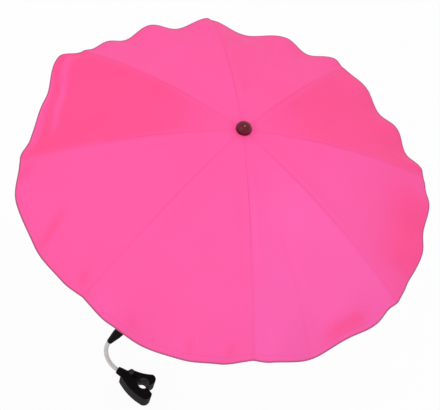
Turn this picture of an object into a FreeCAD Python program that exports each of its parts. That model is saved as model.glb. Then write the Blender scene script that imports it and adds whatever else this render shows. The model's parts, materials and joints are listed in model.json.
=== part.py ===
import FreeCAD, Part
import math
import os
import Sketcher

# Pram parasol. Millimetres, +Z up along the canopy's axis.
# The origin is the centre of the tube that the clamp grips, and +X runs from the neck to the jaws.

SIZES = {
    # clearances
    "fit_gap": 0.05,
    "slide_gap": 0.15,
    "run_gap": 0.3,
    "slot_gap": 0.4,
    "overrun": 2.0,
    # pole
    "pole_radius": 5.0,
    "pole_wall": 0.8,
    "pole_above_hinge": 12.0,
    "upper_pole_drop": 373.0,
    "lower_pole_reach": 345.0,
    "lean_angle": 30.5,
    "lean_azimuth": 237.0,
    # crown
    "hinge_radius": 9.5,
    "wire_radius": 0.8,
    "eye_gap": 0.1,
    "eye_radius": 2.0,
    "eye_thickness": 2.0,
    "crown_radius": 13.0,
    "crown_below": 4.5,
    "crown_above": 3.0,
    "crown_hub_radius": 8.5,
    "crown_slot_radius": 7.0,
    "washer_thickness": 1.2,
    "washer_radius": 12.0,
    # finial cap
    "cap_radius": 13.0,
    "cap_rim": 3.0,
    "cap_height": 13.5,
    # ribs
    "rib_count": 8,
    "rib_length": 336.5,
    "rib_neck": 9.0,
    "rib_slope": 6.4,
    "rib_turn": 20.0,
    "rib_width": 3.2,
    "rib_height": 2.8,
    "rib_wall": 0.6,
    "rib_bar_height": 2.2,
    "rib_bar_grip": 4.0,
    "tip_radius": 1.8,
    "tip_collar": 5.0,
    "tip_length": 6.6,
    # stretchers
    "stretcher_length": 150.0,
    "stretcher_slope": 31.0,
    "stretcher_width": 2.4,
    "stretcher_height": 2.6,
    "fork_cheek": 0.7,
    "fork_half_height": 1.6,
    "fork_reach": 9.0,
    "fork_root": 5.0,
    "rivet_radius": 0.9,
    # runner
    "runner_collar_radius": 12.5,
    "runner_collar_half": 3.0,
    "runner_top": 7.0,
    "runner_slot_radius": 7.2,
    "runner_sleeve_radius": 6.9,
    "runner_sleeve_drop": 26.0,
    "runner_grip_radius": 11.0,
    "runner_grip_flare": 7.0,
    "runner_grip_rim": 4.0,
    "spring_width": 2.6,
    "spring_length": 14.0,
    "spring_thickness": 0.5,
    "spring_drop": 6.0,
    # canopy cloth
    "cloth_thickness": 1.2,
    "cloth_gap": 1.5,
    "cloth_edge_gap": 0.15,
    "cloth_inner_radius": 5.6,
    "hem_overhang": 21.5,
    "cloth_touch": 80.0,
    "gore_hollow": 7.0,
    "frill_wave": 7.0,
    # tilt joint
    "knuckle_radius": 8.5,
    "knuckle_bridge": 10.0,
    "knuckle_floor": 5.0,
    "knuckle_sleeve": 28.0,
    "tongue_radius": 8.0,
    "tongue_half": 4.0,
    "tongue_neck_half": 6.5,
    "tongue_shoulder": 10.5,
    "cheek_thickness": 3.0,
    "tilt_pin_radius": 2.5,
    "tilt_pin_head_radius": 4.2,
    "tilt_pin_head": 1.2,
    "button_radius": 4.0,
    "button_proud": 2.4,
    "button_dome": 0.8,
    "button_travel": 2.0,
    "button_seat": 2.0,
    # pole socket and neck
    "socket_length": 62.0,
    "socket_top_radius": 12.0,
    "socket_bottom_radius": 6.2,
    "socket_flare": 30.0,
    "socket_flare_radius": 10.4,
    "socket_collar": 5.0,
    "socket_grip": 38.0,
    "neck_radius": 5.0,
    "neck_root_radius": 4.5,
    "neck_bore_radius": 3.2,
    "neck_bend_radius": 45.0,
    "neck_grip": 12.0,
    "neck_rib_pitch": 3.0,
    # clamp
    "clamp_reach": 66.0,
    "clamp_height": 40.0,
    "neck_rise": 7.0,
    "tube_radius": 11.0,
    "pad_thickness": 2.5,
    "pad_inset": 1.0,
    "nose_radius": 8.0,
    "nose_length": 28.0,
    "nose_root_radius": 11.5,
    "pivot_x": 36.0,
    "pivot_y": 8.0,
    "ear_radius": 7.0,
    "lug_radius": 6.5,
    "lug_half": 5.5,
    "pivot_radius": 3.0,
    "bolt_head_radius": 5.5,
    "bolt_head": 2.6,
    "body_lobe_x": 16.0,
    "body_lobe_y": 16.0,
    "body_lobe_radius": 14.0,
    "jaw_lobe_x": 8.0,
    "jaw_lobe_y": 17.5,
    "jaw_lobe_radius": 11.5,
    "body_back_x": 52.0,
    "body_back_half": 12.0,
    "knob_radius": 14.0,
    "knob_height": 15.0,
    "knob_collar_radius": 8.0,
    "knob_collar": 3.0,
    "knob_scallop_radius": 5.0,
    "knob_scallop_count": 6,
}

# Shares chosen by hand, of the sizes that they follow.
REACH_SHARES = (0.0, 0.15, 0.3, 0.57, 0.79, 0.91, 1.0)
FRILL_SHARES = (0.0, 0.0, 0.0, 0.0, 0.0, 0.0, 0.02, 0.14, 0.5, 1.0)
ROUND_SHARES = (1.0, 1.0, 0.1, 0.0, 0.01, 0.02, 0.1, 0.4, 0.75, 1.0)
HOLLOW_SHARES = (0.0, 0.0, 0.3, 0.7, 0.9, 1.0, 1.0, 0.95, 1.15, 1.35)
HEM_CENTRE_SHARE = 0.985
FOLDS_PER_HALF_GORE = 3
RUNNER_FLARE_SHARE = 0.25
BODY_BULGE_SHARE = 0.066
JAW_BULGE_SHARE = -0.05
KNOB_SCALLOP_SHARE = 1.12
NECK_RIB_SHARES = (0.0, 0.25, 0.6, 0.85)

# Angles of the clamp's outline in degrees, from +X round each centre.
MOUTH_ANGLE = 14.0
BODY_SEAT_ANGLE = -165.0
JAW_SEAT_ANGLE = 150.0
BODY_LOBE_ANGLES = (-100.0, 30.0)
JAW_LOBE_ANGLES = (-25.0, 100.0)
EAR_ANGLES = (-60.0, 150.0)
HEEL_ANGLES = (75.0, -40.0)

doc = FreeCAD.newDocument("pram_parasol")
sheet = doc.addObject("Spreadsheet::Sheet", "sizes")
Vector = FreeCAD.Vector
PIECES = []


class Size:
    """A size with the spreadsheet expression that gives it."""

    def __init__(self, value, text):
        self.value = float(value)
        self.text = text

    def joined(self, other, sign, value, swap=False):
        text = other.text if isinstance(other, Size) else repr(float(other))
        left, right = (text, self.text) if swap else (self.text, text)
        return Size(value, f"({left} {sign} {right})")

    def __add__(self, other):
        return self.joined(other, "+", self.value + number(other))

    def __sub__(self, other):
        return self.joined(other, "-", self.value - number(other))

    def __mul__(self, other):
        return self.joined(other, "*", self.value * number(other))

    def __truediv__(self, other):
        return self.joined(other, "/", self.value / number(other))

    def __neg__(self):
        return Size(-self.value, f"(-{self.text})")


def number(size):
    return size.value if isinstance(size, Size) else float(size)


class Sizes:
    """Every named size as an attribute."""

    def __init__(self, table):
        for row, (name, value) in enumerate(table.items(), start=1):
            sheet.set(f"A{row}", name)
            sheet.set(f"B{row}", str(value))
            sheet.setAlias(f"B{row}", name)
            setattr(self, name, Size(value, f"sizes.{name}"))


S = Sizes(SIZES)
doc.recompute()


def bind(item, name, size):
    """Sets a property from a size and keeps it tied to the spreadsheet."""
    if isinstance(size, Size):
        item.setExpression(name, size.text)
    else:
        setattr(item, name, size)


def turn(axis, degrees):
    return FreeCAD.Placement(Vector(), FreeCAD.Rotation(axis, degrees))


def shift(x=0, y=0, z=0):
    return FreeCAD.Placement(Vector(number(x), number(y), number(z)), FreeCAD.Rotation())


X_AXIS, Y_AXIS, Z_AXIS = Vector(1, 0, 0), Vector(0, 1, 0), Vector(0, 0, 1)


def new_body(label):
    body = doc.addObject("PartDesign::Body", label)
    body.Label = label
    return body


def new_sketch(body, role, offset=None):
    """A sketch on one of the body's origin planes, moved along the plane's normal."""
    sketch = body.newObject("Sketcher::SketchObject", "sketch")
    support = next(f for f in body.Origin.OriginFeatures if f.Role == role)
    sketch.AttachmentSupport = [(support, "")]
    sketch.MapMode = "FlatFace"
    if offset is not None:
        bind(sketch, "AttachmentOffset.Base.z", offset)
    return sketch


def tie_point(sketch, geometry, position, point):
    """Ties one point of the sketch to its two sizes."""
    for kind, size, axis in (("DistanceX", point[0], -2), ("DistanceY", point[1], -1)):
        if isinstance(size, Size):
            index = sketch.addConstraint(
                Sketcher.Constraint(kind, -1, 1, geometry, position, size.value)
            )
            sketch.setExpression(f"Constraints[{index}]", size.text)
        else:
            sketch.addConstraint(Sketcher.Constraint("PointOnObject", geometry, position, axis))


def flat(point):
    return Vector(number(point[0]), number(point[1]), 0)


def outline(sketch, corners):
    """A closed outline. A corner with a third entry is a point that the arc beside it passes through."""
    firm = [i for i, corner in enumerate(corners) if len(corner) == 2]
    ends = []
    for i, k in zip(firm, firm[1:] + firm[:1]):
        a, b = flat(corners[i]), flat(corners[k])
        if (i + 1) % len(corners) == k:
            geometry = sketch.addGeometry(Part.LineSegment(a, b), False)
            ends.append((geometry, 1, 2))
            continue
        through = corners[(i + 1) % len(corners)]
        middle = flat(through)
        left_turn = (middle - a).cross(b - middle).z > 0
        arc = Part.Arc(a, middle, b) if left_turn else Part.Arc(b, middle, a)
        geometry = sketch.addGeometry(arc, False)
        ends.append((geometry, 1, 2) if left_turn else (geometry, 2, 1))
        mark = sketch.addGeometry(Part.Point(middle), True)
        sketch.addConstraint(Sketcher.Constraint("PointOnObject", mark, 1, geometry))
        tie_point(sketch, mark, 1, through)
    for (before, _, last), (after, first, _) in zip(ends, ends[1:] + ends[:1]):
        sketch.addConstraint(Sketcher.Constraint("Coincident", before, last, after, first))
    for (geometry, first, _), i in zip(ends, firm):
        tie_point(sketch, geometry, first, corners[i])


def ring(sketch, centre, radius):
    geometry = sketch.addGeometry(Part.Circle(flat(centre), Z_AXIS, number(radius)), False)
    index = sketch.addConstraint(Sketcher.Constraint("Radius", geometry, number(radius)))
    sketch.setExpression(f"Constraints[{index}]", radius.text)
    tie_point(sketch, geometry, 3, centre)


def revolved(body, corners, axis="V_Axis", role="XZ_Plane", cut=False):
    """A full turn of an outline about one of its sketch's axes."""
    sketch = new_sketch(body, role)
    outline(sketch, corners)
    kind = "PartDesign::Groove" if cut else "PartDesign::Revolution"
    feature = body.newObject(kind, "turned")
    feature.Profile = sketch
    feature.ReferenceAxis = (sketch, [axis])
    feature.Angle = 360
    return feature


def extruded(body, role, depth, corners=None, circle=None, offset=None, cut=False, both=True):
    """A pad, or a pocket, of an outline or a circle, on both sides of its plane or on one."""
    sketch = new_sketch(body, role, offset)
    if circle:
        ring(sketch, *circle)
    else:
        outline(sketch, corners)
    feature = body.newObject("PartDesign::Pocket" if cut else "PartDesign::Pad", "layer")
    feature.Profile = sketch
    feature.SideType = "Symmetric" if both else "One side"
    bind(feature, "Length", depth)
    return feature


def around(body, feature, count):
    """Copies of a feature round the body's Z axis."""
    pattern = body.newObject("PartDesign::PolarPattern", "pattern")
    pattern.Originals = [feature]
    axis = next(f for f in body.Origin.OriginFeatures if f.Role == "Z_Axis")
    pattern.Axis = (axis, [""])
    pattern.Angle = 360
    bind(pattern, "Occurrences", count)
    body.Tip = pattern


def box_corners(x0, x1, y0, y1):
    return [(x0, y0), (x1, y0), (x1, y1), (x0, y1)]


def keep(piece, placement):
    piece.Placement = placement
    PIECES.append(piece)
    return piece


# Places of the main joints, worked out from the clamp upwards.

UP_POLE = (turn(Z_AXIS, S.lean_azimuth.value) * turn(Y_AXIS, -S.lean_angle.value)).multVec(Z_AXIS)
NECK_START = Vector(-S.clamp_reach.value, 0, S.neck_rise.value)
NECK_OUT = -X_AXIS
NECK_TURN = NECK_OUT.getAngle(UP_POLE)
NECK_SIDE = UP_POLE - NECK_OUT * UP_POLE.dot(NECK_OUT)
NECK_SIDE.normalize()


def neck_point(angle):
    """A point of the neck's bend and the direction there, counted from the clamp."""
    sweep = NECK_OUT * math.sin(angle) + NECK_SIDE * (1 - math.cos(angle))
    heading = NECK_OUT * math.cos(angle) + NECK_SIDE * math.sin(angle)
    return NECK_START + sweep * S.neck_bend_radius.value, heading


SOCKET_FOOT = neck_point(NECK_TURN)[0]
KNUCKLE = SOCKET_FOOT + UP_POLE * S.lower_pole_reach.value
HUB = KNUCKLE + Z_AXIS * S.upper_pole_drop.value

lean_turn = turn(Z_AXIS, S.lean_azimuth.value)
head_frame = shift(*HUB) * lean_turn
knuckle_frame = shift(*KNUCKLE) * lean_turn
lower_frame = knuckle_frame * turn(Y_AXIS, -S.lean_angle.value)
clamp_frame = FreeCAD.Placement()
body_frame = shift(z=S.neck_rise)
half_gore = 180.0 / SIZES["rib_count"]
rib_frames = [
    head_frame * turn(Z_AXIS, half_gore * (2 * k + 1)) for k in range(SIZES["rib_count"])
]

# The rib's line in its own upright plane, as distance out from the pole and height over the hinges.

rib_bend_radius = (S.rib_length.value - S.rib_neck.value) / math.radians(S.rib_turn.value)


def rib_line(along):
    """Distance out, height and downward slope in degrees at a length along the rib."""
    first = math.radians(S.rib_slope.value)
    neck = min(along, S.rib_neck.value)
    slope = first + (along - neck) / rib_bend_radius
    out = neck * math.cos(first) + rib_bend_radius * (math.sin(slope) - math.sin(first))
    height = -neck * math.sin(first) + rib_bend_radius * (math.cos(slope) - math.cos(first))
    return S.hinge_radius.value + out, height, math.degrees(slope)


def length_at(reach):
    """The length along the rib at a distance out from its hinge."""
    first = math.radians(S.rib_slope.value)
    slope = math.asin(math.sin(first) + (reach - S.rib_neck.value * math.cos(first)) / rib_bend_radius)
    return S.rib_neck.value + (slope - first) * rib_bend_radius


stretcher_tilt = math.radians(S.stretcher_slope.value)
rib_joint_along = length_at(S.stretcher_length.value * math.cos(stretcher_tilt))
JOINT_OUT, JOINT_HEIGHT, JOINT_SLOPE = rib_line(rib_joint_along)
RUNNER_HEIGHT = JOINT_HEIGHT - S.stretcher_length.value * math.sin(stretcher_tilt)

pole_bore = S.pole_radius + S.fit_gap
slider_bore = S.pole_radius + S.slide_gap
slot_half = S.eye_thickness / 2 + S.slot_gap
washer_top = S.crown_above + S.washer_thickness
cloth_seat = washer_top + S.run_gap
cap_floor = cloth_seat + S.cloth_thickness + S.run_gap


def dome(radius, foot, rise):
    """The point halfway up a round dome over a foot of the given radius."""
    ball = (radius * radius + rise * rise) / (rise * 2)
    half = math.atan2(radius.value, ball.value - rise.value) / 2
    return ball * math.sin(half), foot + rise - ball * (1 - math.cos(half)), "through"


def tube(label, radius, wall, bottom, top, placement):
    body = new_body(label)
    revolved(body, box_corners(radius - wall, radius, bottom, top))
    return keep(body, placement)


# Head: cap, washer, crown, wire ring and upper pole

def finial_cap():
    body = new_body("finial_cap")
    shoulder = cap_floor + S.cap_rim
    top = cap_floor + S.cap_height
    pole_end = S.pole_above_hinge + S.fit_gap
    revolved(
        body,
        [
            (0, top),
            dome(S.cap_radius, shoulder, S.cap_height - S.cap_rim),
            (S.cap_radius, shoulder),
            (S.cap_radius, cap_floor),
            (pole_bore, cap_floor),
            (pole_bore, pole_end),
            (0, pole_end),
        ],
    )
    keep(body, head_frame)


def canopy_washer():
    body = new_body("canopy_washer")
    revolved(body, box_corners(pole_bore, S.washer_radius, S.crown_above, washer_top))
    keep(body, head_frame)


def crown_notch():
    body = new_body("crown_notch")
    groove = S.wire_radius + S.eye_gap
    revolved(
        body,
        [
            (pole_bore, -S.crown_below),
            (S.crown_radius, -S.crown_below),
            (S.crown_radius, -groove),
            (S.crown_hub_radius, -groove),
            (S.crown_hub_radius, groove),
            (S.crown_radius, groove),
            (S.crown_radius, S.crown_above),
            (pole_bore, S.crown_above),
        ],
    )
    slot_top = S.eye_radius + S.slot_gap
    slot = extruded(
        body,
        "XY_Plane",
        slot_top + S.crown_below + S.overrun,
        box_corners(S.crown_slot_radius, S.crown_radius + S.overrun, -slot_half, slot_half),
        offset=slot_top,
        cut=True,
        both=False,
    )
    around(body, slot, S.rib_count)
    keep(body, rib_frames[0])


def crown_wire():
    wire = doc.addObject("Part::Torus", "crown_wire")
    bind(wire, "Radius1", S.hinge_radius)
    bind(wire, "Radius2", S.wire_radius)
    keep(wire, head_frame)


def upper_pole():
    floor = -S.upper_pole_drop + S.knuckle_bridge + S.knuckle_floor
    tube("upper_pole", S.pole_radius, S.pole_wall, floor, S.pole_above_hinge, head_frame)


# Runner and its leaf spring

runner_frame = head_frame * shift(z=RUNNER_HEIGHT)


def runner():
    body = new_body("runner")
    flare_top = -S.runner_sleeve_drop
    rim_top = flare_top - S.runner_grip_flare
    foot = rim_top - S.runner_grip_rim
    revolved(
        body,
        [
            (slider_bore, S.runner_top),
            (slider_bore, foot),
            (S.runner_grip_radius, foot),
            (S.runner_grip_radius, rim_top),
            (
                S.runner_sleeve_radius + (S.runner_grip_radius - S.runner_sleeve_radius) * RUNNER_FLARE_SHARE,
                (rim_top + flare_top) / 2,
                "through",
            ),
            (S.runner_sleeve_radius, flare_top),
            (S.runner_sleeve_radius, -S.runner_collar_half),
            (S.runner_collar_radius, -S.runner_collar_half),
            (S.runner_collar_radius, S.runner_collar_half),
            (S.runner_slot_radius, S.runner_collar_half),
            (S.runner_slot_radius, S.runner_top),
        ],
    )
    extruded(
        body,
        "XZ_Plane",
        S.spring_width + S.run_gap * 2,
        box_corners(
            S.pole_radius,
            S.runner_collar_radius,
            -S.spring_drop - S.spring_length,
            -S.spring_drop,
        ),
        cut=True,
    )
    slot = extruded(
        body,
        "XY_Plane",
        S.runner_collar_half * 2 + S.overrun,
        box_corners(S.runner_slot_radius, S.crown_radius + S.overrun, -slot_half, slot_half),
        cut=True,
    )
    slot.Profile[0].AttachmentOffset = turn(Z_AXIS, half_gore)
    around(body, slot, S.rib_count)
    keep(body, runner_frame)


def runner_spring():
    body = new_body("runner_spring")
    top = -S.spring_drop - S.fit_gap
    foot = -S.spring_drop - S.spring_length + S.fit_gap
    inner = S.runner_sleeve_radius - S.spring_thickness
    belly = S.pole_radius + S.fit_gap * 2
    middle = (top + foot) / 2
    extruded(
        body,
        "XZ_Plane",
        S.spring_width,
        [
            (inner, foot),
            (S.runner_sleeve_radius, foot),
            (belly + S.spring_thickness, middle, "through"),
            (S.runner_sleeve_radius, top),
            (inner, top),
            (belly, middle, "through"),
        ],
    )
    keep(body, runner_frame)


# Ribs with their tips, and stretchers

def rib(k):
    body = new_body(f"rib_{k + 1}")
    half, tall, wall = S.rib_width / 2, S.rib_height / 2, S.rib_wall
    sketch = new_sketch(body, "YZ_Plane")
    outline(
        sketch,
        [
            (-half, -tall),
            (-half + wall, -tall),
            (-half + wall, tall - wall),
            (half - wall, tall - wall),
            (half - wall, -tall),
            (half, -tall),
            (half, tall),
            (-half, tall),
        ],
    )
    centre = -rib_bend_radius
    sketch.addGeometry(
        Part.LineSegment(Vector(-half.value, centre, 0), Vector(half.value, centre, 0)), True
    )
    channel = body.newObject("PartDesign::Revolution", "channel")
    channel.Profile = sketch
    channel.ReferenceAxis = (sketch, ["Axis0"])
    bind(channel, "Angle", S.rib_turn)
    eye = (-S.rib_neck, 0)
    bar = S.rib_bar_height / 2
    extruded(
        body, "XZ_Plane", S.eye_thickness, box_corners(-S.rib_neck, S.rib_bar_grip, -bar, bar)
    )
    extruded(body, "XZ_Plane", S.eye_thickness, circle=(eye, S.eye_radius))
    wire_hole = (eye, S.wire_radius + S.eye_gap)
    extruded(body, "XZ_Plane", S.eye_thickness + S.overrun, circle=wire_hole, cut=True)
    angle = (rib_joint_along - S.rib_neck.value) / rib_bend_radius
    sketch = new_sketch(body, "XZ_Plane")
    place = Vector(math.sin(angle) * rib_bend_radius, (math.cos(angle) - 1) * rib_bend_radius, 0)
    sketch.addGeometry(Part.Circle(place, Z_AXIS, (S.rivet_radius + S.eye_gap).value), False)
    hole = body.newObject("PartDesign::Pocket", "rivet_hole")
    hole.Profile = sketch
    hole.SideType = "Symmetric"
    bind(hole, "Length", S.rib_width + S.overrun)
    start = shift(x=S.hinge_radius) * turn(Y_AXIS, S.rib_slope.value) * shift(x=S.rib_neck)
    keep(body, rib_frames[k] * start)


def rib_tip(k):
    body = new_body(f"rib_tip_{k + 1}")
    high, along, mark = dome(S.tip_radius, S.tip_collar, S.tip_length - S.tip_collar)
    revolved(
        body,
        [
            (0, 0),
            (S.tip_length, 0),
            (along, high, mark),
            (S.tip_collar, S.tip_radius),
            (0, S.tip_radius),
        ],
        axis="H_Axis",
    )
    out, height, slope = rib_line(S.rib_length.value)
    keep(body, rib_frames[k] * shift(out, 0, height) * turn(Y_AXIS, slope))


def stretcher(k):
    body = new_body(f"stretcher_{k + 1}")
    high = S.fork_half_height
    mouth = S.rib_width / 2 + S.run_gap
    across = (mouth + S.fork_cheek) * 2
    rod = S.stretcher_height / 2
    extruded(
        body,
        "XZ_Plane",
        across,
        [
            (0, -high),
            (S.fork_reach + S.fork_root, -rod),
            (S.fork_reach + S.fork_root, rod),
            (0, high),
            (-high, 0, "through"),
        ],
    )
    extruded(
        body,
        "XY_Plane",
        high * 2 + S.overrun,
        box_corners(-high - S.overrun, S.fork_reach, -mouth, mouth),
        cut=True,
    )
    extruded(body, "XZ_Plane", across, circle=((0, 0), S.rivet_radius))
    extruded(
        body,
        "XZ_Plane",
        S.stretcher_width,
        box_corners(S.fork_reach + S.fork_root / 2, S.stretcher_length, -rod, rod),
    )
    eye = (S.stretcher_length, 0)
    trim = S.stretcher_width + S.overrun
    extruded(body, "XZ_Plane", trim, circle=(eye, S.eye_radius), cut=True)
    extruded(body, "XZ_Plane", S.eye_thickness, circle=(eye, S.eye_radius + S.fit_gap))
    hole = (eye, S.wire_radius + S.eye_gap)
    extruded(body, "XZ_Plane", trim, circle=hole, cut=True)
    place = shift(JOINT_OUT, 0, JOINT_HEIGHT) * turn(Y_AXIS, 180 - S.stretcher_slope.value)
    keep(body, rib_frames[k] * place)


# Canopy cloth: one solid for each rib, half a gore to either side

cloth_lift = S.rib_height.value / 2 + S.cloth_gap.value + S.cloth_thickness.value / 2
cloth_apex = cloth_seat.value + S.cloth_thickness.value / 2
half_angle = math.radians(half_gore)


def cloth_over_rib(along):
    """Distance out, height and slope of the cloth's middle over a place on the rib."""
    out, height, slope = rib_line(along)
    slope = math.radians(slope)
    return out + cloth_lift * math.sin(slope), height + cloth_lift * math.cos(slope), slope


def cloth_stations():
    """The cloth's ridge from the cap to the hem: flat on the washer, straight to the rib, then along it."""
    washer_out = S.washer_radius.value
    touch_out, touch_height, touch_slope = cloth_over_rib(S.cloth_touch.value)
    stations = [(S.cloth_inner_radius.value, cloth_apex, 0), (washer_out, cloth_apex, 0)]
    stations.append(((washer_out + touch_out) / 2, (cloth_apex + touch_height) / 2, touch_slope))
    reach = S.rib_length.value + S.hem_overhang.value - S.cloth_touch.value
    stations += [cloth_over_rib(S.cloth_touch.value + reach * share) for share in REACH_SHARES]
    return stations


STATIONS = cloth_stations()


def cloth_point(station, side):
    """A point of the cloth's middle. side runs from -1 to 1 across the panel, with 0 on the rib."""
    out, ridge, slope = STATIONS[station]
    across = abs(side)
    angle = (half_angle - S.cloth_edge_gap.value / out) * side
    swell = 1 - (1 - across) ** 2
    chord = math.cos(half_angle) / math.cos(half_angle - abs(angle))
    bowed = 1 - (1 - HEM_CENTRE_SHARE) * swell
    radius = out * (chord + (bowed - chord) * ROUND_SHARES[station])
    fall = (radius - out * chord) * math.tan(slope)
    sag = S.gore_hollow.value * HOLLOW_SHARES[station] * swell
    wave = S.frill_wave.value * FRILL_SHARES[station]
    wave *= 1 - math.cos(math.pi * FOLDS_PER_HALF_GORE * across)
    radius += wave * math.sin(slope)
    height = ridge - fall - sag + wave * math.cos(slope)
    return Vector(radius * math.cos(angle), radius * math.sin(angle), height)


def cloth_section(station):
    """The cloth's upper and lower lines across the panel, as arcs that meet at the waves' bends."""
    lift = Z_AXIS * (S.cloth_thickness.value / 2)
    bends = [(2 * j + 1) / (2 * FOLDS_PER_HALF_GORE) for j in range(FOLDS_PER_HALF_GORE)]
    splits = [-1] + [-share for share in reversed(bends)] + [0] + bends + [1]
    upper, lower = [], []
    for first, last in zip(splits, splits[1:]):
        a, m, b = (cloth_point(station, side) for side in (first, (first + last) / 2, last))
        upper.append(Part.Arc(a + lift, m + lift, b + lift).toShape())
        lower.append(Part.Arc(a - lift, m - lift, b - lift).toShape())
    return upper, lower


def cloth_edge(station, side):
    """The short line through the cloth's thickness at a panel's edge."""
    lift = Z_AXIS * (S.cloth_thickness.value / 2)
    point = cloth_point(station, side)
    return Part.Wire(Part.LineSegment(point + lift, point - lift).toShape())


def cloth_solid():
    """Upper and lower skins, the two side edges, the hem and the edge at the pole, sewn to one solid."""
    places = range(len(STATIONS))
    sections = [cloth_section(station) for station in places]
    faces = []
    for skin in zip(*sections):
        faces += Part.makeLoft([Part.Wire(line) for line in skin], False, True).Faces
    for side in (-1, 1):
        faces += Part.makeLoft([cloth_edge(station, side) for station in places], False, True).Faces
    for upper, lower in (sections[0], sections[-1]):
        faces += [Part.makeRuledSurface(a, b) for a, b in zip(upper, lower)]
    shell = Part.Shell(faces)
    shell.sewShape()
    return Part.Solid(shell)


def canopy_panel(k):
    panel = doc.addObject("Part::Feature", f"canopy_panel_{k + 1}")
    panel.Shape = cloth_solid()
    keep(panel, rib_frames[k])


# Tilt joint

cheek_inner = S.tongue_half + S.run_gap
cheek_outer = cheek_inner + S.cheek_thickness
button_back = S.tongue_half - S.button_seat


def knuckle_sleeve(body, direction, start):
    """A sleeve with a floor that takes a pole end, above the pivot or below it."""
    floor = (start + S.knuckle_floor) * direction
    end = (start + S.knuckle_sleeve) * direction
    revolved(
        body,
        [
            (0, start * direction),
            (S.knuckle_radius, start * direction),
            (S.knuckle_radius, end),
            (pole_bore, end),
            (pole_bore, floor),
            (0, floor),
        ],
    )


def tilt_fork():
    body = new_body("tilt_fork")
    knuckle_sleeve(body, 1, S.knuckle_bridge)
    reach = S.knuckle_bridge + S.knuckle_floor
    sides = [
        (-S.knuckle_radius, 0),
        (0, -S.knuckle_radius, "through"),
        (S.knuckle_radius, 0),
        (S.tongue_neck_half, reach),
        (-S.tongue_neck_half, reach),
    ]
    middle = (cheek_inner + cheek_outer) / 2
    for offset in (middle, -middle):
        extruded(body, "XZ_Plane", S.cheek_thickness, sides, offset=offset)
    pin_hole = ((0, 0), S.tilt_pin_radius + S.fit_gap)
    extruded(
        body, "XZ_Plane", S.cheek_thickness + S.overrun, circle=pin_hole, offset=middle, cut=True
    )
    button_hole = ((0, 0), S.button_radius + S.fit_gap)
    extruded(
        body, "XZ_Plane", S.cheek_thickness + S.overrun, circle=button_hole, offset=-middle, cut=True
    )
    keep(body, knuckle_frame)


def tilt_tongue():
    body = new_body("tilt_tongue")
    thick = S.tongue_half * 2
    extruded(body, "XZ_Plane", thick, circle=((0, 0), S.tongue_radius))
    neck_end = -S.tongue_shoulder - S.knuckle_floor / 2
    extruded(
        body,
        "XZ_Plane",
        thick,
        box_corners(-S.tongue_neck_half, S.tongue_neck_half, neck_end, 0),
    )
    knuckle_sleeve(body, -1, S.tongue_shoulder)
    pin_hole = ((0, 0), S.tilt_pin_radius + S.fit_gap)
    extruded(body, "XZ_Plane", thick + S.overrun, circle=pin_hole, cut=True)
    recess = S.button_seat + S.button_travel + S.run_gap
    extruded(
        body,
        "XZ_Plane",
        recess * 2,
        circle=((0, 0), S.button_radius + S.fit_gap),
        offset=-S.tongue_half,
        cut=True,
    )
    keep(body, lower_frame)


def tilt_pin():
    body = new_body("tilt_pin")
    tail = -cheek_outer - S.run_gap
    head = tail - S.tilt_pin_head
    end = button_back - S.button_travel - S.run_gap * 2
    revolved(
        body,
        [
            (0, head),
            (S.tilt_pin_head_radius, head),
            (S.tilt_pin_head_radius, tail),
            (S.tilt_pin_radius, tail),
            (S.tilt_pin_radius, end),
            (0, end),
        ],
        role="XY_Plane",
    )
    keep(body, lower_frame)


def tilt_button():
    body = new_body("tilt_button")
    rim = cheek_outer + S.button_proud - S.button_dome
    face = cheek_outer + S.button_proud
    revolved(
        body,
        [
            (0, button_back),
            (S.button_radius, button_back),
            (S.button_radius, rim),
            dome(S.button_radius, rim, S.button_dome),
            (0, face),
        ],
        role="XY_Plane",
    )
    keep(body, knuckle_frame)


# Lower pole, its socket and the flexible neck

socket_top = -S.lower_pole_reach + S.socket_length


def lower_pole():
    top = -S.tongue_shoulder - S.knuckle_floor
    tube("lower_pole", S.pole_radius, S.pole_wall, socket_top - S.socket_grip, top, lower_frame)


def pole_socket():
    body = new_body("pole_socket")
    foot = -S.lower_pole_reach
    collar = socket_top - S.socket_collar
    neck_seat = foot + S.neck_grip
    grip_floor = socket_top - S.socket_grip
    neck_bore = S.neck_radius + S.fit_gap
    revolved(
        body,
        [
            (slider_bore, socket_top),
            (slider_bore, grip_floor),
            (0, grip_floor),
            (0, neck_seat),
            (neck_bore, neck_seat),
            (neck_bore, foot),
            (S.socket_bottom_radius, foot),
            (S.socket_flare_radius, foot + S.socket_flare),
            (S.socket_top_radius, collar),
            (S.socket_top_radius, socket_top),
        ],
    )
    keep(body, lower_frame)


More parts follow.
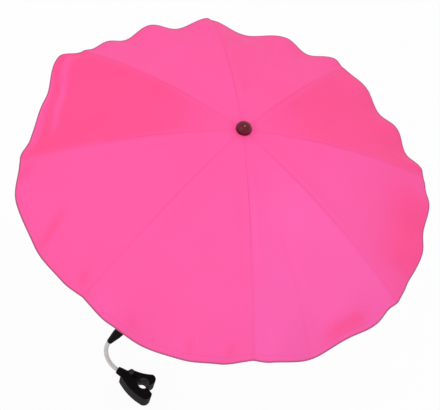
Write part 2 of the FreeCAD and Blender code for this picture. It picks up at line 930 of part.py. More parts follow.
def gooseneck():
    """A ribbed tube along the neck's bend, with a straight end in the clamp and one in the socket."""
    grip = S.neck_grip.value - S.fit_gap.value
    bend = NECK_TURN * S.neck_bend_radius.value
    length = grip + bend + grip
    flat_normal = NECK_OUT.cross(NECK_SIDE)

    def place(along):
        """The point and the heading at a length along the neck."""
        if along < grip:
            return NECK_START - NECK_OUT * (grip - along), NECK_OUT
        if along > grip + bend:
            return SOCKET_FOOT + UP_POLE * (along - grip - bend), UP_POLE
        return neck_point((along - grip) / S.neck_bend_radius.value)

    def circle(along, radius):
        point, heading = place(along)
        curve = Part.Circle(point, heading, radius)
        curve.XAxis = flat_normal
        return Part.Wire(curve.toShape())

    count = round(length / S.neck_rib_pitch.value)
    pitch = length / count
    root, crest = S.neck_root_radius.value, S.neck_radius.value
    rib_radii = (root, crest, crest, root)
    rings = [
        circle((i + share) * pitch, radius)
        for i in range(count)
        for share, radius in zip(NECK_RIB_SHARES, rib_radii)
    ]
    rings.append(circle(length, root))
    outside = Part.makeLoft(rings, True, True)
    line_in = Part.LineSegment(NECK_START - NECK_OUT * grip, NECK_START)
    arc = Part.Arc(NECK_START, neck_point(NECK_TURN / 2)[0], SOCKET_FOOT)
    line_out = Part.LineSegment(SOCKET_FOOT, SOCKET_FOOT + UP_POLE * grip)
    path = Part.Wire([part.toShape() for part in (line_in, arc, line_out)])
    bore = path.makePipeShell([circle(0, S.neck_bore_radius.value)], True, False)
    neck = doc.addObject("Part::Feature", "gooseneck")
    neck.Shape = outside.cut(bore)
    keep(neck, FreeCAD.Placement())


# Clamp

seat_radius = S.tube_radius + S.pad_thickness
clamp_half = S.clamp_height / 2


def at(radius, degrees, x=0, y=0):
    """A point at a radius and an angle from a centre."""
    angle = math.radians(degrees)
    east, north = radius * math.cos(angle), radius * math.sin(angle)
    return (east + x if x else east), (north + y if y else north)


def rounded(radius, first, last, *centre):
    """The corners of an arc about a centre: its start, a point that it passes through and its end."""
    middle = at(radius, (first + last) / 2, *centre)
    return [at(radius, first, *centre), (*middle, "through"), at(radius, last, *centre)]


def between(a, b, bulge):
    """The middle of two corners, pushed out to the left of the way from a to b."""
    x = (a[0] + b[0]) / 2 + (b[1] - a[1]) * bulge
    y = (a[1] + b[1]) / 2 - (b[0] - a[0]) * bulge
    return x, y, "through"


pivot = (-S.pivot_x, S.pivot_y)


def clamp_body():
    """The fixed jaw and ears in the tube's plane, with a nose along the neck, which leaves higher up."""
    body = new_body("clamp_body")
    back_low = (-S.body_back_x, -S.body_back_half)
    lobe = rounded(S.body_lobe_radius, *BODY_LOBE_ANGLES, S.body_lobe_x, -S.body_lobe_y)
    level = -S.neck_rise
    extruded(
        body,
        "XY_Plane",
        S.clamp_height,
        [
            back_low,
            between(back_low, lobe[0], BODY_BULGE_SHARE),
            *lobe,
            *rounded(seat_radius, -MOUTH_ANGLE, BODY_SEAT_ANGLE),
            *rounded(S.ear_radius, *EAR_ANGLES, *pivot),
        ],
        offset=level,
    )
    tail = -S.clamp_reach
    revolved(
        body,
        [
            (tail, 0),
            (tail + S.nose_length, 0),
            (tail + S.nose_length, S.nose_root_radius),
            (tail, S.nose_radius),
        ],
        axis="H_Axis",
    )
    revolved(
        body,
        [
            (tail, 0),
            (tail + S.neck_grip, 0),
            (tail + S.neck_grip, S.neck_radius + S.fit_gap),
            (tail, S.neck_radius + S.fit_gap),
        ],
        axis="H_Axis",
        cut=True,
    )
    slot = (S.lug_half + S.run_gap) * 2
    lug_room = (pivot, S.ear_radius + S.slot_gap)
    extruded(body, "XY_Plane", slot, circle=lug_room, offset=level, cut=True)
    bolt_hole = (pivot, S.pivot_radius + S.fit_gap)
    extruded(body, "XY_Plane", S.clamp_height + S.overrun, circle=bolt_hole, offset=level, cut=True)
    keep(body, body_frame)


def clamp_jaw():
    body = new_body("clamp_jaw")
    heel_high, heel_low = (at(S.lug_radius, angle, *pivot) for angle in HEEL_ANGLES)
    lobe = rounded(S.jaw_lobe_radius, *JAW_LOBE_ANGLES, S.jaw_lobe_x, S.jaw_lobe_y)
    arm = [
        *lobe,
        between(lobe[-1], heel_high, JAW_BULGE_SHARE),
        heel_high,
        heel_low,
        *rounded(seat_radius, JAW_SEAT_ANGLE, MOUTH_ANGLE),
    ]
    extruded(body, "XY_Plane", S.clamp_height, arm)
    clear = (pivot, S.ear_radius + S.slot_gap)
    extruded(body, "XY_Plane", S.clamp_height + S.overrun, circle=clear, cut=True)
    lug_height = S.lug_half * 2
    extruded(body, "XY_Plane", lug_height, circle=(pivot, S.lug_radius))
    web_end = (JAW_SEAT_ANGLE + MOUTH_ANGLE) / 2
    lug_web = [heel_high, heel_low, *rounded(seat_radius, JAW_SEAT_ANGLE, web_end)]
    extruded(body, "XY_Plane", lug_height, lug_web)
    bolt_hole = (pivot, S.pivot_radius + S.fit_gap)
    extruded(body, "XY_Plane", S.clamp_height + S.overrun, circle=bolt_hole, cut=True)
    keep(body, clamp_frame)


def jaw_pad(label, first, last):
    body = new_body(label)
    corners = rounded(seat_radius - S.fit_gap, first, last) + rounded(S.tube_radius, last, first)
    extruded(body, "XY_Plane", S.clamp_height - S.pad_inset * 2, corners)
    keep(body, clamp_frame)


def pivot_bolt():
    body = new_body("pivot_bolt")
    head = clamp_half + S.fit_gap
    foot = -clamp_half - S.run_gap - S.knob_height
    revolved(
        body,
        [
            (0, head + S.bolt_head),
            dome(S.bolt_head_radius, head, S.bolt_head),
            (S.bolt_head_radius, head),
            (S.pivot_radius, head),
            (S.pivot_radius, foot),
            (0, foot),
        ],
    )
    keep(body, shift(*pivot))


def clamp_knob():
    body = new_body("clamp_knob")
    top = -clamp_half - S.run_gap
    shoulder = top - S.knob_collar
    foot = top - S.knob_height
    bore = S.pivot_radius + S.fit_gap
    revolved(
        body,
        [
            (bore, top),
            (S.knob_collar_radius, top),
            (S.knob_collar_radius, shoulder),
            (S.knob_radius, shoulder),
            (S.knob_radius, foot),
            (bore, foot),
        ],
    )
    scallop = extruded(
        body,
        "XY_Plane",
        S.knob_height * 2 + S.clamp_height,
        circle=((S.knob_radius * KNOB_SCALLOP_SHARE, 0), S.knob_scallop_radius),
        offset=shoulder,
        cut=True,
        both=False,
    )
    around(body, scallop, S.knob_scallop_count)
    keep(body, shift(*pivot))


for make in (finial_cap, canopy_washer, crown_notch, crown_wire, upper_pole, runner, runner_spring):
    make()
for k in range(SIZES["rib_count"]):
    rib(k)
    rib_tip(k)
    stretcher(k)
    canopy_panel(k)
for make in (tilt_fork, tilt_tongue, tilt_pin, tilt_button, lower_pole, pole_socket, gooseneck):
    make()
clamp_body()
clamp_jaw()
jaw_pad("body_pad", -MOUTH_ANGLE, BODY_SEAT_ANGLE)
jaw_pad("jaw_pad", MOUTH_ANGLE, JAW_SEAT_ANGLE)
pivot_bolt()
clamp_knob()

doc.recompute()
faults = [item.Name for item in doc.Objects if {"Invalid", "Error"} & set(item.State)]
for piece in PIECES:
    if piece.Shape.isNull() or not piece.Shape.isValid() or not piece.Shape.Solids:
        faults.append(piece.Label)
if faults:
    raise RuntimeError(f"failed: {faults}")

os.makedirs("parts", exist_ok=True)
for piece in PIECES:
    piece.Shape.exportStep(f"parts/{piece.Label}.step")
    print(piece.Label, len(piece.Shape.Solids), round(piece.Shape.Volume, 1))
print("hub", HUB, "knuckle", KNUCKLE, "socket foot", SOCKET_FOOT, "runner height", RUNNER_HEIGHT)
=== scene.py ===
# %% [markdown]
# A pram parasol: eight gores of pink cloth on folding ribs, a tilting pole, a bendable neck and a
# clamp. All of it could be modelled here, but its hinges and slides have to fit, so the hard
# pieces come from the CAD model, loaded as a fixed frame. They get their finishes here, and the
# cloth and the neck are made anew. The frame's own box is kept, because the dressed parasol has to
# stay inside it.

# %% Load the frame
import json
import math

import bpy
import numpy as np
from mathutils import Matrix, Vector


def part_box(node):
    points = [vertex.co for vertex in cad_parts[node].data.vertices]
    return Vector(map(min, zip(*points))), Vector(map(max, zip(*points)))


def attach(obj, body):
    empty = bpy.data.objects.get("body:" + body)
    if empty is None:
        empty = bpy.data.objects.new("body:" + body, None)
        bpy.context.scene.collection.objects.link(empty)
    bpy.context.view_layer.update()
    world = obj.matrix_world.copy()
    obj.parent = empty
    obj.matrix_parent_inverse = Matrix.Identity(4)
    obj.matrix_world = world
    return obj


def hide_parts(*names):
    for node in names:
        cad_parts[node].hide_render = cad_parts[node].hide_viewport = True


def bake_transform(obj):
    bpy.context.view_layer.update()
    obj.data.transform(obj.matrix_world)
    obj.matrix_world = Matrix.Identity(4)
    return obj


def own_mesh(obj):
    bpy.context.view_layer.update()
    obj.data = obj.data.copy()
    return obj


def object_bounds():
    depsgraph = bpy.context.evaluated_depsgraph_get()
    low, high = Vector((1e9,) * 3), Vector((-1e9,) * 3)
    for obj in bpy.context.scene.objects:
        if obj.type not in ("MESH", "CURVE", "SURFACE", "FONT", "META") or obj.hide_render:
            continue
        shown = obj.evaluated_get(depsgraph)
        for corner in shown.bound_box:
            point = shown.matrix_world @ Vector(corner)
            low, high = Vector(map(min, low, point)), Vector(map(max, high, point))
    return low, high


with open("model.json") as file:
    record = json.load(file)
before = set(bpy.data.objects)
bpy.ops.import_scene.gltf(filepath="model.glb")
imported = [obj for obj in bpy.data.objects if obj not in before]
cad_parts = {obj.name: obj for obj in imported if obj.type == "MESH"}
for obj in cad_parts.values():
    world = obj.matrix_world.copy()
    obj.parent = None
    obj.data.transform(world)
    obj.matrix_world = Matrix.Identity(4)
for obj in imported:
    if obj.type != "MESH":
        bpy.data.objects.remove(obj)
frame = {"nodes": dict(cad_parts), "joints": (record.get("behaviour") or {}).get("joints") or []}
cad_box = [list(corner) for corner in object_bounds()]
nodes = frame["nodes"]
joints = {joint["name"]: joint for joint in frame["joints"]}
MM = 0.001

# %% [markdown]
# The cloth needs the canopy's middle and the way that each rib points. Both could be typed in, but
# typed numbers go stale when the CAD changes. The wire ring under the cap lies on the canopy's
# axis, at the height that the ribs hinge at, so its box gives the hub, and each hinge gives its
# rib's heading.

# %% Find the hub and the ribs
RIB_COUNT = 8
RIBS = range(1, RIB_COUNT + 1)


def middle(node):
    low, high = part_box(node)
    return (Vector(low) + Vector(high)) / 2


hub = middle("crown_wire")
cap_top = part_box("finial_cap")[1][2]
rib_ways = {}
for i in RIBS:
    hinge = Vector(joints[f"rib_hinge_{i}"]["pos_m"]) - hub
    rib_ways[i] = math.atan2(hinge.y, hinge.x)
print("hub", [round(v, 4) for v in hub], "ribs", len(rib_ways))

# %% [markdown]
# The camera stands where the photograph was taken from. It could be placed by eye, but a canopy
# seen from above hides its own depth. So a plain pinhole camera was fitted to the photograph's
# seams and hem: it looks down at about 55 degrees, a little rolled, from 1.27 m. The cap is held
# at its place in the picture, and the camera's own place follows from that.

# %% Camera
PHOTO_WIDTH = 440
FOCAL_PIXELS = 800.0
SENSOR_WIDTH = 36.0
FAR_CLIP = 20
LOOK_DOWN = math.radians(54.7)
ROLL = math.radians(19.1)
CAMERA_TURN = math.radians(13.6)
# The cap's top as the camera sees it, in metres to the right, down and ahead.
CAP_SEEN_AT = Vector((0.0403, -0.1282, 1.2630))


def aim_camera():
    """The camera's place and turn. The rows are its right, down and forward directions."""
    cos_r, sin_r = math.cos(ROLL), math.sin(ROLL)
    roll = Matrix(((cos_r, -sin_r, 0), (sin_r, cos_r, 0), (0, 0, 1)))
    cos_d, sin_d = math.cos(LOOK_DOWN), math.sin(LOOK_DOWN)
    level = Matrix(((1, 0, 0), (0, -sin_d, -cos_d), (0, cos_d, -sin_d)))
    rows = roll @ level @ Matrix.Rotation(-CAMERA_TURN, 3, "Z")
    right, down, ahead = rows
    pose = Matrix((right, -down, -ahead)).transposed().to_4x4()
    pose.translation = Vector((hub.x, hub.y, cap_top)) - rows.transposed() @ CAP_SEEN_AT
    return pose


bpy.ops.object.select_all(action="DESELECT")
bpy.ops.object.camera_add()
camera = bpy.context.object
camera.name = "photo_camera"
camera.data.sensor_width = SENSOR_WIDTH
camera.data.lens = FOCAL_PIXELS * SENSOR_WIDTH / PHOTO_WIDTH
camera.data.clip_end = FAR_CLIP
camera.matrix_world = aim_camera()
bpy.context.scene.camera = camera
print("camera at", [round(v, 3) for v in camera.location], "lens", round(camera.data.lens, 2))

# %% [markdown]
# A finish is a net of shader nodes. It could be wired node by node, which takes many lines and
# hides the sums. This small class wraps a socket, so that plus, minus and times on two of them add
# the Math node, and its node method makes any other node with its settings and the values of its
# inputs.

# %% Socket class for the finishes
# A Mix node repeats its socket names for each type of data. These are the places of the colours.
MIX_FACTOR, MIX_FIRST, MIX_SECOND, MIX_RESULT = 0, 6, 7, 2


class Sock:
    def __init__(self, tree, output=None):
        self.tree = tree
        self.output = output

    def node(self, kind, settings=None, inputs=None, output=0):
        made = self.tree.nodes.new(kind)
        for name, value in (settings or {}).items():
            setattr(made, name, value)
        for name, value in (inputs or {}).items():
            if isinstance(value, Sock):
                self.tree.links.new(value.output, made.inputs[name])
            else:
                made.inputs[name].default_value = value
        return Sock(self.tree, made.outputs[output])

    def sum(self, operation, *values):
        return self.node("ShaderNodeMath", {"operation": operation}, dict(enumerate(values)))

    def __add__(self, other):
        return self.sum("ADD", self, other)

    def __radd__(self, other):
        return self.sum("ADD", other, self)

    def __sub__(self, other):
        return self.sum("SUBTRACT", self, other)

    def __rsub__(self, other):
        return self.sum("SUBTRACT", other, self)

    def __mul__(self, other):
        return self.sum("MULTIPLY", self, other)

    def __rmul__(self, other):
        return self.sum("MULTIPLY", other, self)

    def __abs__(self):
        return self.sum("ABSOLUTE", self)

    def below(self, limit):
        return self.sum("LESS_THAN", self, limit)

    def above(self, limit):
        return self.sum("GREATER_THAN", self, limit)

    def wave(self, pitch):
        """A sine wave that repeats each pitch."""
        return self.sum("SINE", self * (2 * math.pi / pitch))

    def parts(self):
        """The three parts of a vector."""
        split = self.node("ShaderNodeSeparateXYZ", None, {0: self}).output.node
        return [Sock(self.tree, split.outputs[k]) for k in range(3)]

    def mix(self, first, second):
        """first where this is 0 and second where it is 1, as colours."""
        inputs = {MIX_FACTOR: self, MIX_FIRST: first, MIX_SECOND: second}
        return self.node("ShaderNodeMix", {"data_type": "RGBA"}, inputs, output=MIX_RESULT)


print("methods of a socket:", [name for name in vars(Sock) if name.strip("_") == name])


# %% [markdown]
# Colours are read from the photograph as screen levels, 0 to 255, and shaders take linear light.
# Each could be worked out by hand, but a helper keeps the levels readable in this file. The other
# helpers start a material, set what is the same all over, and add what most finishes need: the
# place on the piece, noise and a bump. The place is in Object coordinates, so a pattern stays put
# on its piece.

# %% Helpers for colours and finishes
def ink(red, green, blue):
    """A colour in screen levels as the linear colour that a shader takes."""
    def linear(level):
        share = level / 255
        return share / 12.92 if share <= 0.04045 else ((share + 0.055) / 1.055) ** 2.4

    return (linear(red), linear(green), linear(blue), 1.0)


def new_finish(name, **sockets):
    """A material with plain values on its shader, that shader, and a Sock to make nodes with."""
    material = bpy.data.materials.new(name)
    material.use_nodes = True
    tree = material.node_tree
    shader = next(n for n in tree.nodes if n.type == "BSDF_PRINCIPLED")
    for key, value in sockets.items():
        shader.inputs[key.replace("_", " ")].default_value = value
    return material, shader, Sock(tree)


def link(value, node, socket):
    value.tree.links.new(value.output, node.inputs[socket])


def place_on_piece(maker):
    return maker.node("ShaderNodeTexCoord", output="Object")


def noise(maker, place, scale, detail):
    """Cloudy noise with about as many clouds to a metre as its scale."""
    inputs = {"Vector": place, "Scale": scale, "Detail": detail}
    return maker.node("ShaderNodeTexNoise", None, inputs)


def bump(maker, height, strength, distance, shader):
    inputs = {"Strength": strength, "Distance": distance, "Height": height}
    link(maker.node("ShaderNodeBump", None, inputs), shader, "Normal")


print("a screen level of 128 is", round(ink(128, 128, 128)[0], 3), "of full light")

# %% [markdown]
# The canopy is sewn. Over each rib the seam's slight groove is a faint purplish line of painted
# shade, clearest about 130 mm from the cap, with a row of stitches on each side. The hem is turned
# under, sewn once, and has a thin bound edge, whose darker grey-pink is partly painted shade of the
# turned edge. Each stitch could be modelled, but thousands of them would be too small to see. So
# they are dashes in the finish: a sine wave along the row, cut off at a level.

# %% Seams and stitches
THREAD = ink(226, 74, 134)
SEAM_SHADE = ink(228, 72, 140)
BINDING_AND_SHADE = ink(178, 94, 128)
SEAM_HALF = 0.9 * MM
SEAM_CLEAR_AT = 130 * MM
# The strength of the seam's painted shade against the distance in metres from that place.
SEAM_FADE = {"From Min": 0.03, "From Max": 0.12, "To Min": 0.5, "To Max": 0.22}
STITCH = 3.2 * MM
STITCH_LEVEL = -0.35
SEAM_ROW, SEAM_ROW_HALF = 3.0 * MM, 0.35 * MM
HEM_ROW, HEM_ROW_HALF = 8.5 * MM, 0.4 * MM
BOUND_UNDER, BOUND_OVER = -7.0 * MM, 0.4 * MM


# How strong the seam's painted shade is, along the rib.
def seam_shade_strength(along):
    from_clear = abs(along - SEAM_CLEAR_AT)
    return along.node("ShaderNodeMapRange", None, {"Value": from_clear, **SEAM_FADE})


def stitches(way, off_row, half):
    """Dashes along a way, where the distance from their row is under half their width."""
    return abs(off_row).below(half) * way.wave(STITCH).above(STITCH_LEVEL)


print("stitches of", round(STITCH / MM, 1), "mm")

# %% [markdown]
# The cloth is plain-woven polyester. A picture of cloth could be wrapped on it, but that blurs
# close up. Here the weave is two crossed sine waves half a millimetre apart, which show only from
# near, and fine noise makes the threads uneven. Three maps on the cloth feed the finish: metres
# across and along it, metres to its hem, and the light and shade painted on each gore and crease.

# %% Cloth finish
# The cloth's pink in painted shade and in painted light, the two ends of the gores' painted shade.
PINK_IN_PAINTED_SHADE = ink(254, 81, 143)
PINK_IN_PAINTED_LIGHT = ink(254, 102, 180)
PINK_DEEP = ink(240, 64, 124)
THREAD_PITCH = 0.55 * MM
WEAVE_DEEP = 0.2 * MM


def cloth_finish():
    gloss = {"Specular_IOR_Level": 0.06, "Sheen_Weight": 0.03, "Sheen_Roughness": 0.4}
    material, shader, maker = new_finish("pink_cloth", **gloss)
    across, along, _ = maker.node("ShaderNodeUVMap", {"uv_map": "cloth"}).parts()
    to_hem, _, _ = maker.node("ShaderNodeUVMap", {"uv_map": "hem"}).parts()
    # The map of the painted light and shade of the gores and their creases.
    painted_shade, _, _ = maker.node("ShaderNodeUVMap", {"uv_map": "gore"}).parts()
    place = place_on_piece(maker)
    cloud = noise(maker, place, 9.0, 3.0)
    slub = noise(maker, place, 240.0, 2.0)
    weave = across.wave(THREAD_PITCH) * along.wave(THREAD_PITCH)
    seam = abs(across).below(SEAM_HALF)
    rows = stitches(along, abs(across) - SEAM_ROW, SEAM_ROW_HALF)
    rows = rows + stitches(across, abs(to_hem) - HEM_ROW, HEM_ROW_HALF)
    edge = to_hem.below(BOUND_OVER) * to_hem.above(BOUND_UNDER)
    # Painted light and shade of the gores and creases, with a little random tone from the noise.
    base = (painted_shade + (cloud - 0.5) * 0.25).mix(PINK_IN_PAINTED_SHADE, PINK_IN_PAINTED_LIGHT)
    base = (slub * 0.08 + weave * 0.05).mix(base, PINK_DEEP)
    # Painted shade of the seam's slight groove over each rib.
    base = (seam * seam_shade_strength(along)).mix(base, SEAM_SHADE)
    base = (rows * 0.4).mix(base, THREAD)
    # The bound edge along the hem and under it; its darker grey-pink is partly painted shade of the
    # turned edge.
    base = (edge * 0.9).mix(base, BINDING_AND_SHADE)
    link(base, shader, "Base Color")
    link(0.56 + slub * 0.14, shader, "Roughness")
    relief = weave * 0.35 + slub * 0.25 - seam * 2.0 + rows * 1.2
    bump(maker, relief, 0.35, WEAVE_DEEP, shader)
    return material


CLOTH = cloth_finish()
print("cloth finish of", len(CLOTH.node_tree.nodes), "nodes")

# %% [markdown]
# The mouldings are black plastic with the fine grain of a spark-eroded mould, and the cap is
# plastic polished to a dark red gloss. Poles are drawn aluminium with long fine lines, ribs and
# stretchers are pale lacquered steel. Each piece could have a finish of its own, but two kinds
# cover them all: grain with wear for plastic, lines with marks for metal. Within a kind only the
# colours, the roughness and the shine differ.

# %% Finishes of plastic and metal
GRAIN_DEEP = 0.15 * MM
LINES_DEEP = 0.1 * MM
LONG_LINES, SHORT_LINES, EVEN = (1, 1, 0.03), (1, 1, 0.2), (1, 1, 1)


def grained_plastic(name, colour, lighter, rough, grain, shine=0.45):
    material, shader, maker = new_finish(name, Specular_IOR_Level=shine)
    place = place_on_piece(maker)
    fine = noise(maker, place, 1400.0, 2.0)
    wear = noise(maker, place, 70.0, 4.0)
    link((wear * 0.6).mix(colour, lighter), shader, "Base Color")
    link(rough + wear * 0.16, shader, "Roughness")
    bump(maker, fine, grain, GRAIN_DEEP, shader)
    return material


def drawn_metal(name, colour, darker, rough, stretch, metallic=1.0):
    material, shader, maker = new_finish(name, Metallic=metallic)
    place = place_on_piece(maker)
    drawn = maker.node("ShaderNodeMapping", None, {"Vector": place, "Scale": stretch})
    lines = noise(maker, drawn, 900.0, 3.0)
    marks = noise(maker, place, 55.0, 4.0)
    link((lines * 0.5 + marks * 0.3).mix(colour, darker), shader, "Base Color")
    link(rough + lines * 0.12 + marks * 0.08, shader, "Roughness")
    bump(maker, lines, 0.12, LINES_DEEP, shader)
    return material


black = grained_plastic("black_moulding", ink(10, 10, 11), ink(17, 17, 18), 0.5, 0.35, 0.05)
polished = grained_plastic("polished_cap", ink(96, 0, 28), ink(114, 2, 38), 0.12, 0.02, 0.24)
rubber = grained_plastic("ribbed_rubber", ink(36, 36, 38), ink(52, 52, 55), 0.7, 0.6)
pale = grained_plastic("pale_plastic", ink(222, 222, 220), ink(205, 204, 200), 0.42, 0.2)
grey = grained_plastic("button_grey", ink(120, 122, 126), ink(140, 142, 146), 0.3, 0.1)
tube = drawn_metal("drawn_aluminium", ink(205, 207, 210), ink(176, 178, 182), 0.26, LONG_LINES)
steel = drawn_metal("bright_steel", ink(190, 191, 194), ink(160, 161, 165), 0.22, SHORT_LINES)
dark = drawn_metal("blackened_steel", ink(40, 40, 42), ink(28, 28, 30), 0.38, SHORT_LINES, 0.6)
lacquer = drawn_metal("lacquered_steel", ink(214, 214, 216), ink(196, 197, 200), 0.34, EVEN, 0.25)
print("plastic and metal finishes made")

# %% [markdown]
# The hard pieces keep their CAD shape, so all they need is the finish of the real piece. The
# finishes could be set piece by piece where each is made; one list shows at a glance what is made
# of what.

# %% Put the finishes on the hard pieces
MADE_OF = (
    (polished, ["finial_cap"]),
    (black, ["crown_notch", "runner", "tilt_fork", "tilt_tongue", "pole_socket"]),
    (black, ["clamp_body", "clamp_jaw", "clamp_knob"]),
    (grey, ["tilt_button"]),
    (rubber, ["body_pad", "jaw_pad"]),
    (pale, ["canopy_washer"] + [f"rib_tip_{i}" for i in RIBS]),
    (tube, ["upper_pole", "lower_pole"]),
    (steel, ["crown_wire", "runner_spring", "tilt_pin"]),
    (dark, ["pivot_bolt"]),
    (lacquer, [f"rib_{i}" for i in RIBS] + [f"stretcher_{i}" for i in RIBS]),
)
for finish, names in MADE_OF:
    for name in names:
        nodes[name].data.materials.clear()
        nodes[name].data.materials.append(finish)
print("finishes on", sum(len(names) for _, names in MADE_OF), "nodes")

# %% [markdown]
# The canopy is one sewn cover, stretched over eight bowed ribs. A simulation could stretch it, but
# that is slow and wouldn't give the waves that this hem has. So one formula gives the whole sheet.
# It begins with the line over a rib: level on the washer under the cap, straight to where the
# cloth first touches the rib, then along the rib's bow to the hem. The rows lie closer near the
# hem, where the waves are.

# %% The cloth's line over a rib
HINGE_OUT = 9.5 * MM
RIB_LENGTH = 336.5 * MM
RIB_NECK = 9 * MM
RIB_SLOPE = math.radians(6.4)
RIB_BEND = (RIB_LENGTH - RIB_NECK) / math.radians(20)
CLOTH_LIFT = 2.9 * MM
CLOTH_INNER = 5.8 * MM
CLOTH_APEX = 5.0 * MM
WASHER_MIDDLE, WASHER_OUT, WASHER_EDGE_SLOPE = 9 * MM, 12.5 * MM, 0.05
TOUCH = 80 * MM
HEM_ALONG = 355.8 * MM
STRAIGHT_SHARES = (0.06, 0.14, 0.25, 0.4, 0.55, 0.7, 0.85)
WIDE_ROWS, WIDE_END = 24, 260 * MM
CLOSE_ROWS, CLOSE_START = 42, 265 * MM


def over_rib(along):
    """Distance out, height and slope of the cloth over a place on the rib."""
    neck = np.minimum(along, RIB_NECK)
    slope = RIB_SLOPE + (along - neck) / RIB_BEND
    out = HINGE_OUT + neck * math.cos(RIB_SLOPE)
    out = out + RIB_BEND * (np.sin(slope) - math.sin(RIB_SLOPE)) + CLOTH_LIFT * np.sin(slope)
    height = -neck * math.sin(RIB_SLOPE) + RIB_BEND * (np.cos(slope) - math.cos(RIB_SLOPE))
    return out, height + CLOTH_LIFT * np.cos(slope), slope


def ridge_line():
    """Distance out, height and slope of each row of the cloth, from the cap to the hem."""
    touch_out, touch_height, touch_slope = (float(v) for v in over_rib(np.array(TOUCH)))
    rows = [(CLOTH_INNER, CLOTH_APEX, 0.0), (WASHER_MIDDLE, CLOTH_APEX, 0.0)]
    rows.append((WASHER_OUT, CLOTH_APEX, WASHER_EDGE_SLOPE))
    for share in STRAIGHT_SHARES:
        out = WASHER_OUT + (touch_out - WASHER_OUT) * share
        rows.append((out, CLOTH_APEX + (touch_height - CLOTH_APEX) * share, touch_slope))
    wide = np.linspace(TOUCH, WIDE_END, WIDE_ROWS)
    close = np.linspace(CLOSE_START, HEM_ALONG, CLOSE_ROWS)
    return np.array(rows + list(zip(*over_rib(np.concatenate([wide, close])))))


RIDGE = ridge_line()
HEM_OUT = RIDGE[-1][0]
print("cloth rows", len(RIDGE), "hem at", round(HEM_OUT / MM, 1), "mm")

# %% [markdown]
# Past the rib ends the hem is slack and stands in waves, and no two gores are alike. Noise could
# make such waves, but not these ones. So each gore has a few marks, measured in the photograph, of
# where its hem stands high or reaches far. The gores that face away from the camera have waves of
# the same kind.

# %% Marks of the hem
HEM_WAVE = 8.5 * MM
# From a rib to the next: share of the gore, and how high the hem stands there in parts of HEM_WAVE.
GORE_LIFTS = {
    1: ((0.2, 0.75), (0.42, -0.35), (0.66, 0.8), (0.86, 0.1)),
    2: ((0.18, 0.7), (0.4, -0.4), (0.62, 0.8), (0.82, -0.2)),
    3: ((0.07, 0.5), (0.2, 0.0), (0.42, 1.1), (0.6, 0.2), (0.78, 1.25), (0.92, 0.3)),
    4: ((0.06, 0.6), (0.22, -0.6), (0.42, 0.9), (0.6, -0.45), (0.8, 0.95)),
    5: ((0.1, 1.2), (0.28, -0.3), (0.47, 1.6), (0.78, -0.95)),
    6: ((0.05, 0.75), (0.25, -0.65), (0.46, 1.45), (0.66, -0.6), (0.8, 0.3), (0.93, -0.35)),
    7: ((0.17, 2.35), (0.45, 0.3), (0.7, -0.2)),
    8: ((0.25, 0.7), (0.5, -0.3), (0.75, 0.7)),
}
# In the same way: how far the hem reaches down its slope, in millimetres, and that at the ribs.
GORE_SLACKS = {
    1: ((0.2, 4), (0.42, 10), (0.62, 8), (0.82, 4)),
    2: ((0.1, 0), (0.36, 8), (0.6, -1.5), (0.82, 7), (0.94, 1)),
    3: ((0.06, 0), (0.3, 5), (0.7, 6)),
    4: ((0.12, -1), (0.4, 1)),
    5: ((0.3, 3), (0.8, -3)),
    6: ((0.5, 1),),
    7: ((0.14, 12), (0.5, -7), (0.85, -13.5)),
    8: ((0.28, 10), (0.55, 9), (0.85, 2)),
}
RIB_SLACKS = {1: -2, 2: -3, 3: 4, 4: 4, 5: 3, 6: 0, 7: -1, 8: -4}
print("marks on the hem:", sum(len(marks) for marks in GORE_LIFTS.values()))


# %% [markdown]
# The hem has to pass through its marks without corners. A spline could do that, but swings past
# the marks on its way. Half a cosine between each two marks is level at both, so the hem stands
# just as high as marked. A sector has half a gore on either side of its rib, so two gores' lines
# make up its hem.

# %% Line of the hem through its marks
def neighbours(rib):
    """The rib before and the rib after. A gore has the number of the rib that it starts at."""
    return (rib - 2) % RIB_COUNT + 1, rib % RIB_COUNT + 1


def rolling(marks, share, first=0.0, last=0.0):
    """A line that rolls through marks across a gore, level at each of them."""
    stops = ((0.0, first),) + marks + ((1.0, last),)
    level = np.zeros_like(share)
    for (x0, y0), (x1, y1) in zip(stops, stops[1:]):
        inside = (share >= x0) & (share <= x1)
        turn = (1 - np.cos(np.pi * (share - x0) / (x1 - x0))) / 2
        level = np.where(inside, y0 + (y1 - y0) * turn, level)
    return level


def hem_moves(rib, side):
    """How far the hem stands up and how far it reaches, across the two half gores of a rib."""
    before, after = neighbours(rib)
    left, right = 1 + side / 2, side / 2
    lift = np.where(side < 0, rolling(GORE_LIFTS[before], left), rolling(GORE_LIFTS[rib], right))
    slack = np.where(
        side < 0,
        rolling(GORE_SLACKS[before], left, RIB_SLACKS[before], RIB_SLACKS[rib]),
        rolling(GORE_SLACKS[rib], right, RIB_SLACKS[rib], RIB_SLACKS[after]),
    )
    return lift * HEM_WAVE, slack * MM


for i in RIBS:
    lift, _ = hem_moves(i, np.linspace(-1, 1, 41))
    print("hem of sector", i, "stands up to", round(lift.max() / MM, 1), "mm high")

# %% [markdown]
# Soft creases run near the hem, where the cloth isn't stretched. They could be sculpted by hand,
# but then the mesh would have to be kept in a file. Here each is a soft line between two places of
# its gore, faint at its ends, which gives it a relief of about a millimetre and paints the cloth
# lighter or darker along it, as painted light and shade of the crease.

